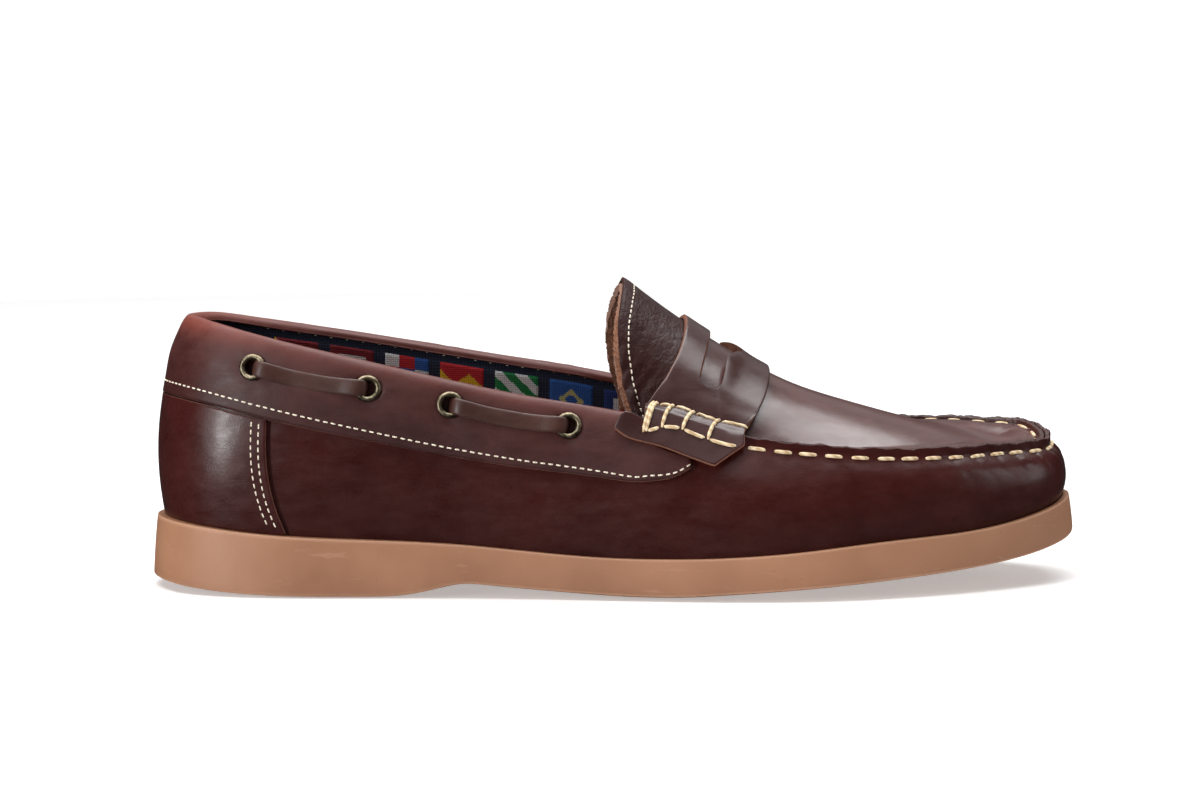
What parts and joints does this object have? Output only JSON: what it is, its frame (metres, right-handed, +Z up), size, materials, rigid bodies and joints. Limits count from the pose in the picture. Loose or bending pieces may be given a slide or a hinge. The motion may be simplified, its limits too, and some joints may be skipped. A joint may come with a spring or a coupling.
{
  "type": "boat shoe",
  "caption": "Slip-on leather boat shoe for the right foot, with a hand-sewn raised toe seam, saddle strap, laced padded collar and rubber sole.",
  "frame": {"origin": "centre of the shoe's bounding box, on the floor it stands on", "axes": "+X towards the toe, +Y to the inner (medial) side, +Z up"},
  "size_m": [0.294, 0.1014, 0.0971],
  "materials": {
    "upper_leather": "waxed burgundy-brown pull-up leather, satin",
    "strap_leather": "the same leather, smoother, with a grey sheen",
    "lining": "dark navy padded woven lining",
    "woven_patches": "woven ribbon patches in blocks of colour",
    "suede": "tan split suede with a raw edge",
    "sock_leather": "tan leather sock, matt",
    "sole_rubber": "caramel rubber, satin",
    "eyelet_brass": "antique brass, satin",
    "lace_leather": "rawhide thong, matt",
    "thread": "waxed cream thread"
  },
  "bodies": {
    "root": {"outsole": "sole_rubber", "insole": "sock_leather", "upper": "upper_leather", "apron": "upper_leather", "tongue": "upper_leather", "heel_counter": "upper_leather", "collar": "upper_leather", "strap": "strap_leather", "eyelet_outer_1": "eyelet_brass", "eyelet_outer_2": "eyelet_brass", "eyelet_outer_3": "eyelet_brass", "eyelet_outer_4": "eyelet_brass", "eyelet_inner_1": "eyelet_brass", "eyelet_inner_2": "eyelet_brass", "eyelet_inner_3": "eyelet_brass", "eyelet_inner_4": "eyelet_brass", "lace_outer_rear": "lace_leather", "lace_outer_front": "lace_leather", "lace_inner_rear": "lace_leather", "lace_inner_front": "lace_leather"}
  },
  "joints": []
}
